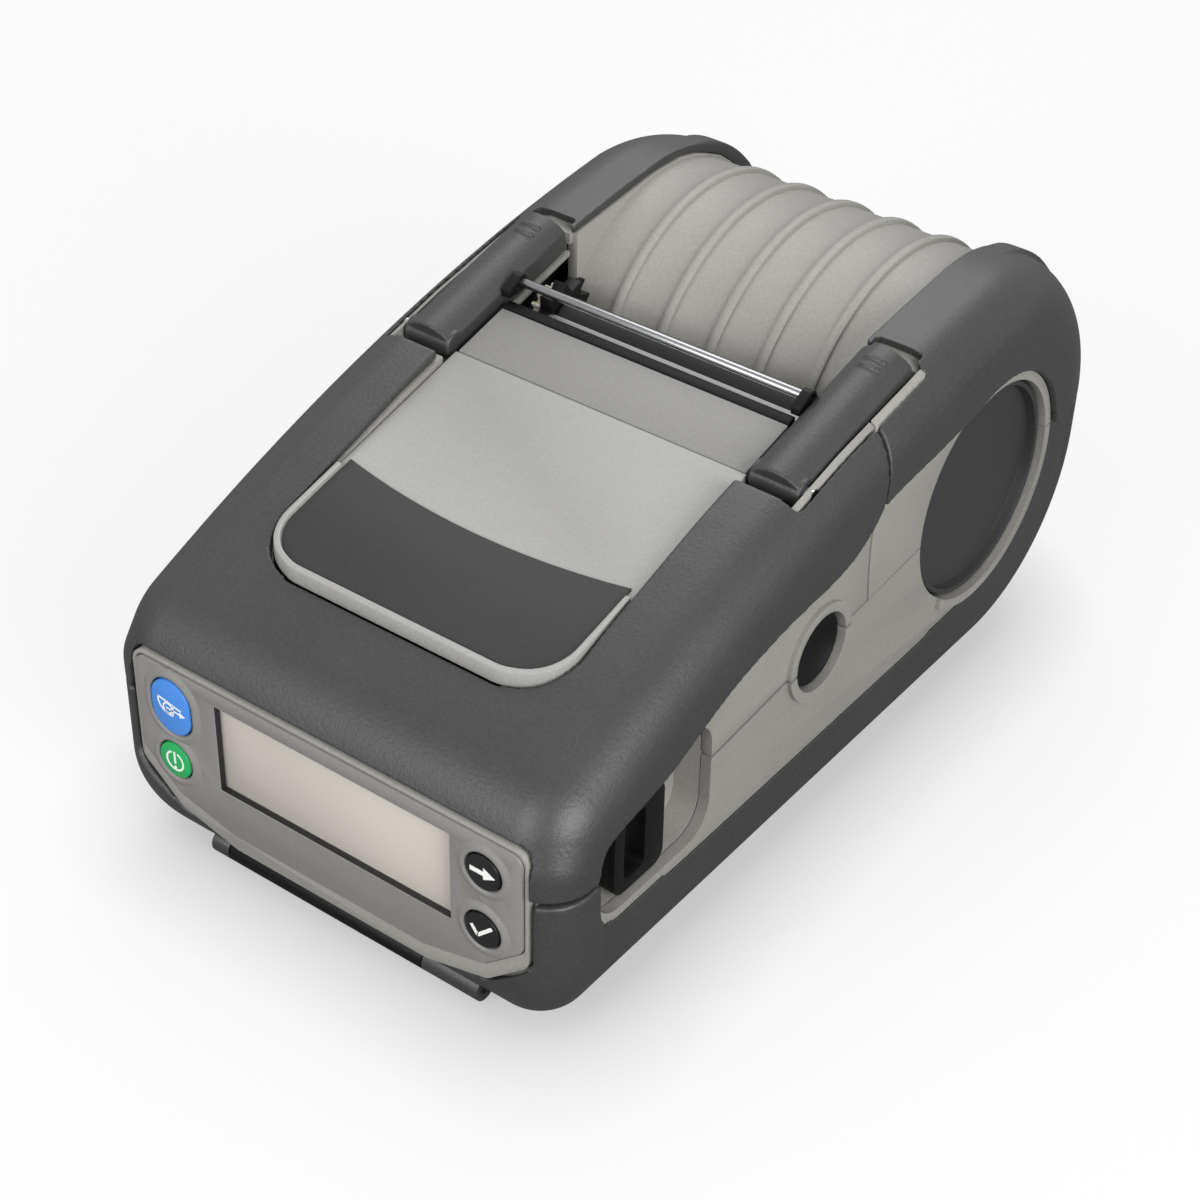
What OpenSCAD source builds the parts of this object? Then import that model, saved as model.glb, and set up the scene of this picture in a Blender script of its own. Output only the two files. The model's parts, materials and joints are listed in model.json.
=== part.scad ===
// Portable label printer with a hinged media cover, a peeler bail and a display panel.
// Millimetres. X is the width, right seen from the front. Y runs from the front (negative)
// to the rear, Z is up. The origin is the middle of the footprint, on the table.

/* [Overall] */
// Width across the rubber bumpers
body_w = 91.4; // [89:0.2:95]
// Length from the front face to the rear of the hump
body_l = 162; // [159:0.5:168]
// Height from the table to the top of the hump
body_h = 76; // [75:0.5:79]
// Thickness of the rubber bumpers
rubber = 1.7; // [1.4:0.1:2]
// Wall of the plastic cases
wall = 2.2; // [1.8:0.1:2.6]

/* [Outer form] */
// Radius of the round hump over the media roll, side view
hump_r = 34.7; // [34:0.1:36]
// Radius of the round lower rear, side view
heel_r = 38; // [36:0.5:40]
// Radius of the front nose, side view
nose_r = 15; // [13:0.5:17]
// Height of the nose arc's centre
nose_z = 34; // [33:0.5:36]
// Radius of the long hood curve, side view
hood_r = 360; // [320:10:420]
// Rounding of the upper long edges
shoulder_r = 10; // [9:0.5:11]
// Rounding of the rear edges
rear_edge_r = 17.5; // [16:0.5:18]
// Rounding of the upright front edges
front_edge_r = 8; // [7:0.5:9]
// Rounding of the lower long edges
foot_edge_r = 16; // [14:0.5:17]
// How far the front's lower edge rakes back
front_rake = 4; // [3:0.5:5]

/* [Case split] */
// Height of the split line at the middle of the length
split_z0 = 37.2; // [36.5:0.1:38]
// Slope of the split line, degrees
split_angle = 5.17; // [5:0.1:5.5]
// Gap between parts that meet at the split and the seam
seam_gap = 0.5; // [0.3:0.05:0.6]
// Where the level seam of the cover starts in front, at the split
seam_y = 3.3; // [2.5:0.1:4]

/* [Media cover] */
// Distance of the cover's hinge from the rear face
hinge_inset = 3.6; // [3.4:0.1:4]
// Height of the cover's hinge
hinge_z = 48; // [47.5:0.1:48.5]
// Radius of the hinge knuckles
knuckle_r = 2.6; // [2.4:0.1:2.8]
// Radius of the hinge pin
hinge_pin_r = 1; // [0.8:0.1:1.2]
// Radius of the ribbed dome
dome_r = 32.5; // [32:0.1:33]
// Inside half width between the walls beside the dome
dome_half = 29.5; // [29:0.1:30]
// Thickness of the dome's wall
dome_wall = 2; // [1.6:0.1:2.4]
// Number of ribs on the dome
rib_count = 5; // [3:1:7]
// Spacing of the ribs
rib_pitch = 10; // [8:0.5:11]
// Height of a rib above the dome
rib_h = 0.9; // [0.6:0.1:1.2]
// Width of a rib
rib_w = 1.7; // [1.2:0.1:2.2]

/* [Side windows] */
// Distance of the round side window from the middle of the length
window_y = 39; // [38:0.5:40]
// Height of the round side window
window_z = 40.1; // [39:0.1:41]
// Radius of the window opening
window_r = 20; // [19:0.5:20.5]
// Width of the raised ring around it
window_ring_w = 1.7; // [1.4:0.1:2.2]
// Height of the ring above the side
window_ring_h = 0.6; // [0.4:0.1:1]

/* [Levers and top] */
// Height of the flat top plate at the middle of the length
plate_z0 = 67.4; // [67:0.1:67.8]
// Slope of the top plate, degrees
plate_angle = 13.28; // [13:0.1:13.5]
// Half width of the top plate
plate_half = 28.8; // [28:0.1:29]
// Rear edge of the top plate
plate_rear_y = -0.6; // [-1:0.1:0]
// Seam between the top plate and the head cover
crease_y = -12.3; // [-14:0.1:-11]
// Inner face of a lever
lever_x0 = 30; // [29.8:0.1:30.2]
// Outer face of a lever
lever_x1 = 39.4; // [39:0.1:39.8]
// Front end of the levers
lever_front_y = -12.8; // [-13.5:0.1:-12]
// Rear end of the levers
lever_rear_y = 18.4; // [17.5:0.1:19]
// Radius of the peeler rod
rod_r = 0.8; // [0.7:0.05:1]

/* [Front panel] */
// Half width of the control panel
panel_half = 39.7; // [39:0.1:40]
// Top of the control panel
panel_top = 39.5; // [38.5:0.1:40]
// Bottom of the control panel
panel_bottom = 7; // [6.5:0.1:8]
// Width of the display window
lcd_w = 47; // [44:0.5:48]
// Height of the display window
lcd_h = 17; // [15:0.5:18]
// Middle of the display window, across
lcd_x = 1.6; // [0:0.1:2]
// Middle of the display window, height
lcd_z = 27.4; // [27:0.1:28]
// Travel of the four keys
key_travel = 0.8; // [0.5:0.1:1]

/* [Drive] */
// Radius of the platen roller
platen_r = 4; // [3.8:0.1:4.2]
// Height of the platen's axis
platen_z = 61.8; // [61.6:0.1:62]
// Distance of the platen's axis from the middle of the length
platen_y = 10.3; // [10.1:0.1:10.5]
// Radius of the platen's shaft
shaft_r = 1.5; // [1.3:0.1:1.6]
// Gear module
gear_m = 0.6; // [0.6:0.1:0.6]
// Teeth on the platen gear
platen_teeth = 15; // [14:1:15]
// Teeth on the idler gear
idler_teeth = 25; // [24:1:26]
// Teeth on the motor pinion
pinion_teeth = 12; // [12:1:13]

/* [Latch and strap] */
// Distance of the release button from the middle of the length
latch_y = -11.6; // [-12:0.1:-11]
// Height of the release button
latch_z = 36.5; // [36:0.1:37]
// Radius of the hole around the release button
latch_hole_r = 7; // [6.8:0.1:7.2]
// Travel of the release button
latch_travel = 2.2; // [2:0.1:2.4]
// Length of the strap recess
recess_l = 31; // [29:0.5:32]
// Height of the strap recess
recess_h = 25; // [24:0.5:26]
// Depth of the strap recess below the side
recess_d = 7; // [6.5:0.1:7.5]

/* [Battery] */
// Width of the battery pack
battery_w = 54; // [52:0.5:55]
// Length of the battery pack
battery_l = 54.5; // [53:0.5:56]
// Height of the battery pack
battery_h = 17; // [16:0.5:17.5]

/* [Hidden] */
$fn = 64;
fit = 0.1;

half_w = body_w / 2;
front_y = -body_l / 2;
rear_y = body_l / 2;
side_x = half_w - rubber;
inner_x = side_x - wall;
hump_c = [rear_y - hump_r, body_h - hump_r];
heel_c = [rear_y - heel_r, heel_r];
nose_c = [front_y + nose_r, nose_z];
hinge_y = rear_y - hinge_inset;
dome_in = dome_r - dome_wall;
split_k = tan(split_angle);
plate_k = tan(plate_angle);

function split_z(y) = split_z0 + split_k * y;
function plate_z(y) = plate_z0 + plate_k * y;
function arc_pt(c, r, a) = [c[0] + r * cos(a), c[1] + r * sin(a)];

// Gear centres: the idler lies straight below the way that the platen gear leaves
function mesh(a, b) = gear_m * (a + b) / 2;
leave_u = [hinge_z - platen_z, platen_y - hinge_y] / norm([hinge_z - platen_z, platen_y - hinge_y]);
idler_c = [platen_y, platen_z] + mesh(platen_teeth, idler_teeth) * leave_u;
motor_c = idler_c + mesh(idler_teeth, pinion_teeth) * [cos(225), sin(225)];

// Centre of the long hood arc, which touches the nose arc and the hump arc from outside
nose_reach = hood_r - nose_r;
hump_reach = hood_r - hump_r;
span = norm(hump_c - nose_c);
span_u = (hump_c - nose_c) / span;
along = (nose_reach^2 - hump_reach^2 + span^2) / (2 * span);
drop = sqrt(nose_reach^2 - along^2);
hood_c = nose_c + along * span_u + drop * [span_u[1], -span_u[0]];
nose_end = atan2(nose_c[1] - hood_c[1], nose_c[0] - hood_c[0]);
hump_end = atan2(hump_c[1] - hood_c[1], hump_c[0] - hood_c[0]);
seam_r = norm([hinge_y - seam_y, hinge_z - split_z(seam_y)]);

// Balls that the outer form is stretched over: centre y, centre z, radius, extra inset from the side
function ball(c, r, a, edge) = concat(arc_pt(c, r - edge, a), [edge, 0]);
corner_steps = 4;
corner_inset = foot_edge_r - front_edge_r;
nose_steps = 5;
hood_steps = 5;
hump_steps = 8;
heel_steps = 6;
balls = concat(
  [for (i = [0 : nose_steps]) ball(nose_c, nose_r, 180 + (nose_end - 180) * i / nose_steps, shoulder_r)],
  [for (i = [1 : hood_steps]) ball(hood_c, hood_r, nose_end + (hump_end - nose_end) * i / hood_steps, shoulder_r)],
  [for (i = [0 : hump_steps]) let (t = i / hump_steps)
    ball(hump_c, hump_r, hump_end * (1 - t), shoulder_r + (rear_edge_r - shoulder_r) * t)],
  [for (i = [1 : heel_steps]) let (t = i / heel_steps)
    ball(heel_c, heel_r, -90 * t, rear_edge_r + (foot_edge_r - rear_edge_r) * t)],
  [[front_y + front_edge_r, nose_z, front_edge_r, 0]],
  [for (i = [0 : corner_steps]) let (a = 90 * i / corner_steps)
    [front_y + front_edge_r + front_rake * (1 - cos(a)), foot_edge_r - corner_inset * sin(a),
      front_edge_r, corner_inset * (1 - cos(a))]]
);

// The convex outer form, shrunk by d all over; facets is the count round each ball
module form(d, facets) {
  hull() for (side = [-1, 1]) for (b = balls)
    translate([side * (half_w - b[2] - b[3]), b[0], b[1]])
      sphere(r = (b[2] - d) / cos(180 / facets), $fn = facets);
}

// Extrudes an outline of (y, z) points across the width, from x0 to x1
module across(x0, x1) {
  translate([x0, 0, 0]) rotate([90, 0, 90]) linear_extrude(x1 - x0) children();
}

// Extrudes an outline of (x, z) points along the length, from y0 to y1
module lengthwise(y0, y1) {
  translate([0, y1, 0]) rotate([90, 0, 0]) linear_extrude(y1 - y0) children();
}

// A cylinder along X from x0 to x1 at (y, z)
module rod_x(x0, x1, y, z, r) {
  translate([x0, y, z]) rotate([0, 90, 0]) cylinder(r = r, h = x1 - x0);
}

// A box from its two corners
module block(a, b) {
  translate(a) cube(b - a);
}

module both_sides() {
  children();
  mirror([1, 0, 0]) children();
}

big = 120;

// The side-view region below the split line, with the rise to the hinge at the rear
module below_split(gap) {
  polygon([
    [-big, -big], [big, -big], [big, hinge_z - relief_r], [hinge_y - 5, split_z(hinge_y) - gap],
    [-big, split_z(-big) - gap]
  ]);
}
relief_r = 3.9;

// Side-view region of the media cover, above the split and behind the seam arc
module cover_region() {
  intersection() {
    translate([hinge_y, hinge_z]) circle(r = seam_r, $fn = 180);
    difference() {
      square(big);
      polygon([[-big, -big], [big, -big], [big, hinge_z - knuckle_r], [hinge_y + 0.6, hinge_z - knuckle_r],
        [hinge_y - 5, split_z(hinge_y)], [-big, split_z(-big)]]);
    }
  }
}

// Space that the cover sweeps or fills beside the levers, cut from the front parts
module seam_cut() {
  both_sides() rod_x(well_x1, half_w + 1, hinge_y, hinge_z, seam_r + seam_gap);
}
well_x0 = lever_x0 - 0.4;
well_x1 = lever_x1 + 1.8;
well_y0 = lever_front_y - 2.8;
well_y1 = lever_rear_y + 1.2;

// Outline of the control panel, seen from the front, grown by d
module panel_outline(d) {
  offset(r = 3 + d, $fn = 32) offset(delta = -3) polygon([
    [-panel_half, panel_top], [-panel_half, panel_bottom + 10], [-panel_half + 8, panel_bottom + 3],
    [-panel_half + 20, panel_bottom], [panel_half - 20, panel_bottom],
    [panel_half - 8, panel_bottom + 3], [panel_half, panel_bottom + 10], [panel_half, panel_top]
  ]);
}

// Plan outline of the opening for the top plate, grown by d
module plate_outline(d) {
  rim_y = front_y + 17.6;
  offset(r = 9 + d, $fn = 48) offset(delta = -9) polygon([
    [-plate_half - 0.5, rim_y + 3], [-plate_half + 8, rim_y], [plate_half - 8, rim_y],
    [plate_half + 0.5, rim_y + 3], [plate_half + 0.5, 60], [-plate_half - 0.5, 60]
  ]);
}

// Outline of the strap recess, side view, grown by d
recess_y = front_y + 26;
recess_z = 31;
module recess_outline(d) {
  translate([recess_y, recess_z])
    offset(r = 7 + d, $fn = 32) square([recess_l - 14, recess_h - 14], center = true);
}

// Smooth line through points, in n pieces from each point to the next
function smooth(p, n) = concat([for (i = [0 : len(p) - 2]) for (k = [0 : n - 1]) let (
    a = p[max(i - 1, 0)], b = p[i], c = p[i + 1], d = p[min(i + 2, len(p) - 1)], t = k / n)
  b + (c - a) * t / 2 + (a - 2.5 * b + 2 * c - d / 2) * t^2 + (3 * b - a - 3 * c + d) * t^3 / 2],
  [p[len(p) - 1]]);

// Openings of the strap recesses through the side walls
recess_lip = 1.2;
recess_seat = 0.2;
module recess_cut() {
  both_sides() {
    across(inner_x - 1, half_w + 1) recess_outline(-recess_lip);
    across(side_x - recess_d - 1.2, inner_x + recess_seat) recess_outline(fit);
  }
}

// Lower edge of the upper rubber, side view
module upper_rubber_region() {
  y0 = recess_y - recess_l / 2;
  polygon(concat(
    [[-big, split_z(front_y) + 0.6], [y0 - 0.5, split_z(y0) + 0.3]],
    smooth([[y0 + 0.2, split_z(y0) + 3.6], [y0 + 2.6, 37], [recess_y + 0.5, 40], [recess_y + 11, 44.2],
      [recess_y + 19, 46.9], [recess_y + 31, 49.2], [latch_y, 50.2], [latch_y + 7, 51.8],
      [seam_y - 3, 54.8], [seam_y + 1, 57.4], [window_y - 20, 59], [window_y - 8, 60.4], [window_y + 4, 60.5]], 3),
    [[window_y + window_r + window_ring_w, 45], [window_y + window_r + window_ring_w, split_z(61)],
    [hinge_y - 5, split_z(hinge_y)], [big, hinge_z - relief_r + seam_gap], [big, big], [-big, big]]
  ));
}

// Upper edge of the lower rubber, side view
module lower_rubber_region() {
  y0 = recess_y - recess_l / 2;
  z0 = recess_z - recess_h / 2;
  polygon(concat(
    [[-big, -big], [-big, split_z(front_y) - 0.6], [y0 - 0.2, split_z(y0) - 0.5], [y0 - 0.2, z0 + 7]],
    smooth([[y0 + 0.6, z0 + 4], [y0 + 3, z0 + 1.2], [y0 + 7, z0 + 0.2], [recess_y, z0 - 0.2],
      [recess_y + 16, z0 - 0.6], [0, 17.6], [window_y - 14, 18.2]], 3),
    [[window_y, 19], [window_y + window_r + window_ring_w, window_z],
    [window_y + window_r + window_ring_w, split_z(61) - seam_gap],
    [hinge_y - 5, split_z(hinge_y) - seam_gap], [big, hinge_z - relief_r], [big, -big]]
  ));
}

// Battery bay and the pack's own place
battery_y0 = front_y + 9.2;
battery_y1 = battery_y0 + battery_l;
battery_z0 = 0.8;
battery_z1 = battery_z0 + battery_h;
bay_gap = 0.6;
catch_t = 1.6;
catch_travel = 2;
catch_half = 9;
bay_x = battery_w / 2 + bay_gap;
bay_y0 = battery_y0 - bay_gap;
bay_y1 = battery_y1 + 0.3 + catch_t + catch_travel + 0.3;
bay_z1 = battery_z1 + bay_gap;
rail_r = 2.3;
rail_c = [front_y + 2.9 + rail_r, rail_r];
rail_top = rail_c[1] + rail_r + 0.4;
rail_x0 = -bay_x + 3.6;
rail_x1 = bay_x - 11;
rail_pin_r = 1.05;
rail_pin_l = 3.6;
panel_t = 1.4;
panel_back = front_y + panel_t + 2.6;

// Screw places, mirrored left and right
screw_x = 34.1;
screw_ys = [-34, 17, 42];
screw_head_r = 2.6;
boss_r = 3.4;
boss_top = 15;

module screw_bosses() {
  for (side = [-1, 1]) for (y = screw_ys) 
    translate([side * screw_x, y, rubber]) cylinder(r = boss_r, h = boss_top - rubber);
}

module screw_holes() {
  for (side = [-1, 1]) for (y = screw_ys) translate([side * screw_x, y, 0]) rotate(90 + 90 * side) {
    translate([0, 0, 3.5]) cylinder(r = 1.25, h = boss_top - 5);
    translate([0, 0, -1]) cylinder(r = screw_head_r + 0.2, h = 4.7);
  }
}

// Hinge knuckles: the cover has the two inner pairs, the base the outer ones and the middle
knuckle_cover = [10, 26];
knuckle_gap = 0.3;
knuckle_end = 32.5;
base_knuckles = [[-knuckle_end, -knuckle_cover[1] - knuckle_gap],
  [-knuckle_cover[0] + knuckle_gap, knuckle_cover[0] - knuckle_gap],
  [knuckle_cover[1] + knuckle_gap, knuckle_end]];

module hinge_bore() {
  rod_x(-half_w - 1, half_w + 1, hinge_y, hinge_z, hinge_pin_r + 0.05);
}

// Lower case: floor, walls, battery bay, screw bosses and hinge knuckles
module base_case() color("#9b9a95") {
  difference() {
    union() {
      difference() {
        form(rubber + fit, 16);
        form(rubber + wall, 12);
      }
      intersection() {
        form(rubber + wall / 2, 12);
        union() {
          block([-bay_x - 1.6, bay_y0 - 1, rubber + 0.5], [bay_x + 1.6, bay_y1 + 1.6, bay_z1 + 1.6]);
          block([-bay_x - 1.6, panel_back + 0.2, rubber + 0.5], [bay_x + 1.6, bay_y0, rail_top + 1]);
          screw_bosses();
        }
      }
    }
    across(-half_w, half_w) difference() {
      square(2 * big, center = true);
      below_split(seam_gap / 2);
    }
    block([-bay_x, bay_y0, -1], [bay_x, bay_y1, bay_z1]);
    block([-bay_x, front_y - 1, -1], [bay_x, bay_y0 + 1, rail_top]);
    lengthwise(front_y - 1, panel_back + 0.6) panel_outline(fit);
    recess_cut();
    both_sides() rod_x(inner_x - 1, half_w, window_y, window_z, window_r);
    rod_x(side_x - 6, half_w, latch_y, latch_z, latch_hole_r);
    screw_holes();
    rod_x(-half_w, half_w, hinge_y, hinge_z, relief_r);
  }
  both_sides() window_ring() below_split(seam_gap / 2);
  latch_ring() below_split(seam_gap / 2);
  base_hinge();
  tub_saddles();
  latch_lugs();
  rail_lugs();
  both_sides()
    block([catch_half + 0.3, battery_y1 + 0.6, rubber + 0.1], [catch_half + 1.8, bay_y1 + 0.1, rubber + 5]);
}

// Two lugs under the front edge, with the pins that the battery pack's rail turns on
module rail_lugs() {
  difference() {
    for (x = [[-bay_x - 0.2, rail_x0 - 0.2], [rail_x1 + 0.2, bay_x + 0.2]]) {
      rod_x(x[0], x[1], rail_c[0], rail_c[1], rail_r);
      block([x[0], rail_c[0] - 1.5, rail_c[1]], [x[1], rail_c[0] + 1.8, rail_top - 0.1]);
      block([x[0], rail_c[0] + 0.1, rail_c[1]], [x[1], rail_c[0] + 1.8, rail_top + 0.6]);
    }
    rod_x(bay_x - 3.5, bay_x + 1, rail_c[0], rail_c[1], rail_pin_r);
  }
  rod_x(rail_x0 - 0.6, rail_x0 + rail_pin_l, rail_c[0], rail_c[1], rail_pin_r);
  rod_x(rail_x1 - rail_pin_l, rail_x1 + 0.6, rail_c[0], rail_c[1], rail_pin_r);
}

// Ribs on the floor that carry the media tub
module tub_saddles() {
  difference() {
    union() {
      block([-24, hump_c[0] - 14, rubber + wall - 0.5], [24, hump_c[0] - 12, 20]);
      block([-24, hump_c[0] + 10, rubber + wall + 1.7], [24, hump_c[0] + 12, 20]);
    }
    rod_x(-half_w, half_w, hump_c[0], hump_c[1], tub_out);
  }
}

// Lugs on the floor that hold the hook's pin
module latch_lugs() {
  difference() {
    intersection() {
      form(rubber + wall / 2, 12);
      for (y = [latch_y - 6.3, latch_y + 4.3])
        block([hook_x - 2.4, y, rubber], [hook_x + 2.4, y + 2, hook_pivot_z + 2.4]);
    }
    translate([hook_x, latch_y - 8, hook_pivot_z]) rotate([-90, 0, 0]) cylinder(r = 1.05, h = 16);
  }
}

// The base's knuckles with the webs that carry them
module base_hinge() {
  difference() {
    for (k = base_knuckles) {
      rod_x(k[0], k[1], hinge_y, hinge_z, knuckle_r);
      block([k[0], hinge_y - 0.5, hinge_z - relief_r - 4], [k[1], hinge_y + 1.1, hinge_z]);
    }
    hinge_bore();
  }
}

// Raised ring around the round side window, cut to a side-view region
module window_ring() {
  intersection() {
    difference() {
      rod_x(side_x - fit - 0.5, side_x + window_ring_h, window_y, window_z, window_r + window_ring_w);
      rod_x(side_x - fit - 1, side_x + window_ring_h + 1, window_y, window_z, window_r);
      translate([0, window_y, window_z]) rotate([-10, 0, 0]) block([-1, -big, -big], [half_w + 1, -9, big]);
    }
    across(side_x - 2, half_w + 1) children();
  }
}

// Raised ring around the release button, on the right side only
latch_ring_w = 1.7;
module latch_ring() {
  intersection() {
    difference() {
      rod_x(side_x - wall, side_x + 0.7, latch_y, latch_z, latch_hole_r + latch_ring_w);
      rod_x(side_x - wall - 1, side_x + 2, latch_y, latch_z, latch_hole_r);
    }
    across(side_x - wall - 1, half_w + 1) children();
  }
}

// Upper front case with the two lever wells
module top_case() color("#9b9a95") {
  difference() {
    union() {
      difference() {
        form(rubber + fit, 16);
        form(rubber + wall, 12);
        lengthwise(seam_y - 3, big) square(2 * big, center = true);
      }
      difference() {
        union() {
          intersection() {
            difference() {
              form(rubber + fit, 16);
              form(rubber + wall, 12);
            }
            both_sides() block([inner_x - 1, -10, 30], [half_w, 12, big]);
          }
          intersection() {
            form(0.5, 16);
            both_sides() block([lever_x1 + 0.5, well_y0 - 0.7, 56], [well_x1 - 0.3, well_y1, 80]);
          }
        }
        both_sides() rod_x(lever_x1 + 0.4, half_w + 1, hinge_y, hinge_z, seam_r + seam_gap);
      }
    }
    across(-half_w, half_w) below_split(-seam_gap / 2);
    linear_extrude(100) plate_outline(fit);
    both_sides() block([plate_half, well_y0, 20], [lever_x1 + 0.5, well_y1, 90]);
    lengthwise(front_y - 1, panel_back + 0.6) panel_outline(fit);
    recess_cut();
    rod_x(side_x - 6, half_w, latch_y, latch_z, latch_hole_r);
    both_sides() rod_x(lever_x1, well_x1, lever_pin[0], lever_pin[1], lever_pin_r + 0.05);
  }
  both_sides() well_floor();
  latch_ring() difference() {
    square(2 * big, center = true);
    below_split(-seam_gap / 2);
  }
}

// Floor and front end of a lever well, below the lever's sweep
module well_floor() {
  intersection() {
    block([well_x0 + 0.3, well_y0 - 1, 50], [lever_x1 + 0.2, well_y1 - 0.3, 90]);
    sloped(well_y0 - 1, well_y1, -4, -3.1);
  }
  block([well_x0 + 0.3, well_y0 - 1, plate_z(well_y0) - 4.1], [lever_x1 + 0.8, well_y0 + 0.1, plate_z(well_y0) - 0.8]);
}

lever_pin = [lever_front_y + 1.6, plate_z(lever_front_y + 1.6) - 0.2];
lever_pin_r = 1.2;

// Upper rubber bumper in front of the media cover
module front_bumper() color("#454545") {
  difference() {
    intersection() {
      difference() {
        form(0, 24);
        form(rubber, 16);
      }
      across(-half_w - 1, half_w + 1) upper_rubber_region();
    }
    seam_cut();
    block([-well_x1, plate_rear_y, 30], [well_x1, big, 100]);
    both_sides() block([well_x0 - 1, well_y0 - 0.8, 50], [well_x1, big, 100]);
    linear_extrude(100) plate_outline(0.3);
    lengthwise(front_y - 1, front_y + 12) panel_outline(0.3);
  }
}

// Lower rubber bumper round the foot, nose and heel, with a thinner band along the sides
foot_x0 = 23;
module base_bumper() color("#454545") {
  difference() {
    intersection() {
      difference() {
        form(0, 24);
        form(rubber, 16);
      }
      across(-half_w - 1, half_w + 1) lower_rubber_region();
    }
    both_sides() rod_x(inner_x, half_w + 1, window_y, window_z, window_r + window_ring_w + 0.2);
    lengthwise(front_y - 1, front_y + 12) panel_outline(0.3);
    both_sides() across(side_x - recess_d, half_w + 1) recess_outline(0);
    block([-bay_x - 0.4, front_y - 1, -1], [bay_x + 0.4, bay_y1, rail_top]);
    block([-foot_x0, bay_y1 - 1, -1], [foot_x0, 38, 6]);
    both_sides() block([side_x + 0.4, recess_y - recess_l / 2 + 1.4, -1], [half_w + 1, big, big]);
    rod_x(-half_w, half_w, hinge_y, hinge_z, relief_r);
    screw_holes();
  }
}

// Slab that lies on the plate's slope between two thicknesses, in plan between y0 and y1
module sloped(y0, y1, low, high) {
  across(-half_w, half_w) polygon([
    [y0, plate_z(y0) + low], [y1, plate_z(y1) + low], [y1, plate_z(y1) + high], [y0, plate_z(y0) + high]
  ]);
}

badge_y = -43.2;
badge_bow = 3;
plate_t = 2;
rim_w = 1.2;

// Flat plate in front of the crease, with the raised rim round the badge
module top_plate() color("#a9a9a7") {
  difference() {
    intersection() {
      linear_extrude(100) plate_outline(-0.1);
      sloped(front_y, crease_y - 0.1, -plate_t, 0.9);
    }
    difference() {
      sloped(front_y, crease_y + 1, 0, 2);
      linear_extrude(100) difference() {
        plate_outline(0);
        plate_outline(-rim_w);
        translate([-big, badge_y + 1]) square(2 * big);
      }
    }
  }
}

// Plan outline of the badge: it follows the plate's front and has a bowed rear edge
module badge_outline(d) {
  bow_r = (plate_half^2 + badge_bow^2) / (2 * badge_bow);
  intersection() {
    plate_outline(-rim_w - 0.2 + d);
    translate([0, badge_y + bow_r + d]) difference() {
      square(4 * bow_r, center = true);
      circle(r = bow_r, $fn = 180);
    }
    translate([-big, -big]) square([2 * big, big + badge_y + badge_bow]);
  }
}

// Blank dark badge, let into the plate
module badge_plate() color("#3b3b3b") {
  intersection() {
    linear_extrude(100) badge_outline(0);
    sloped(front_y, badge_y + 4, 0, 0.35);
  }
}

// Cover strip over the print head, behind the crease
module head_cover() color("#a6a6a3") {
  intersection() {
    block([-plate_half, crease_y + 0.1, 50], [plate_half, plate_rear_y, 80]);
    sloped(crease_y - 2, plate_rear_y + 2, -plate_t, 0);
  }
}

// Serrated black tear bar behind the head cover
tear_y1 = plate_rear_y + 1.9;
module tear_bar() color("#1c1c1c") {
  intersection() {
    block([-plate_half, plate_rear_y + 0.1, 50], [plate_half, tear_y1, 80]);
    sloped(-4, 4, -6, 0.2);
  }
}

// Control panel fascia with the display window and key holes
key_y = front_y + 0.05;
panel_y = front_y + 0.5;
frame_y = front_y + 0.9;
keys = [[-31.1, 31.3, 4.1, 5.2], [-31.3, 20.4, 3.3, 3.3], [31.7, 32.3, 3.2, 3.2], [31.4, 20.6, 3.2, 3.2]];

// Front-view outline of key i, grown by d: a circle, or an upright oval
module key_outline(i, d) {
  k = keys[i];
  rise = k[3] - k[2];
  hull() for (s = [-1, 1]) translate([k[0], k[1] + s * rise]) circle(r = k[2] + d);
}

module lcd_outline(d) {
  translate([lcd_x, lcd_z]) square([lcd_w + 2 * d, lcd_h + 2 * d], center = true);
}

module control_panel() color("#7f7d7a") {
  difference() {
    lengthwise(panel_y, panel_y + panel_t) inner_panel(-0.1);
    lengthwise(front_y - 1, front_y + 4) {
      lcd_outline(0);
      for (i = [0 : 3]) key_outline(i, 0.25);
    }
  }
}

// The raised field: narrower than the frame, most at its lower edge
module inner_panel(d) {
  intersection() {
    panel_outline(d - 0.9);
    translate([0, 2.4]) panel_outline(d - 0.9);
  }
}

module panel_frame() color("#a0a09c") {
  difference() {
    lengthwise(frame_y, panel_back) panel_outline(-0.1);
    lengthwise(front_y - 1, panel_y + panel_t) inner_panel(0.1);
    lengthwise(front_y - 1, front_y + 9) {
      lcd_outline(0.4);
      for (i = [0 : 3]) key_outline(i, 1.2);
    }
    lengthwise(lcd_back + 0.1, front_y + 9) lcd_outline(1.8);
  }
}

lcd_back = panel_y + panel_t + 1;
module lcd_window() color("#b8b3ab") {
  lengthwise(panel_y + panel_t, lcd_back) lcd_outline(0.2);
}

module lcd_module() color("#2a2a2a") {
  lengthwise(lcd_back + 0.1, front_y + 7.6) lcd_outline(1.5);
}

// Rubber mat behind the keys, left and right of the display
mat_t = 1.2;
module keypad_mat() color("#2c2c2c") {
  y0 = key_back + key_travel + 0.1;
  for (x = [[keys[0][0] - 4.7, lcd_x - lcd_w / 2 - 1.8], [lcd_x + lcd_w / 2 + 1.8, keys[2][0] + 4.1]])
    block([x[0], y0, keys[1][1] - 5.4], [x[1], y0 + mat_t, keys[0][1] + 5.7]);
}

key_back = front_y + 3.7;
module key(i, shade) color(shade) {
  lengthwise(key_y, key_back - 0.3) key_outline(i, 0);
  lengthwise(key_back - 0.4, key_back) key_outline(i, 0.7);
}

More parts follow.
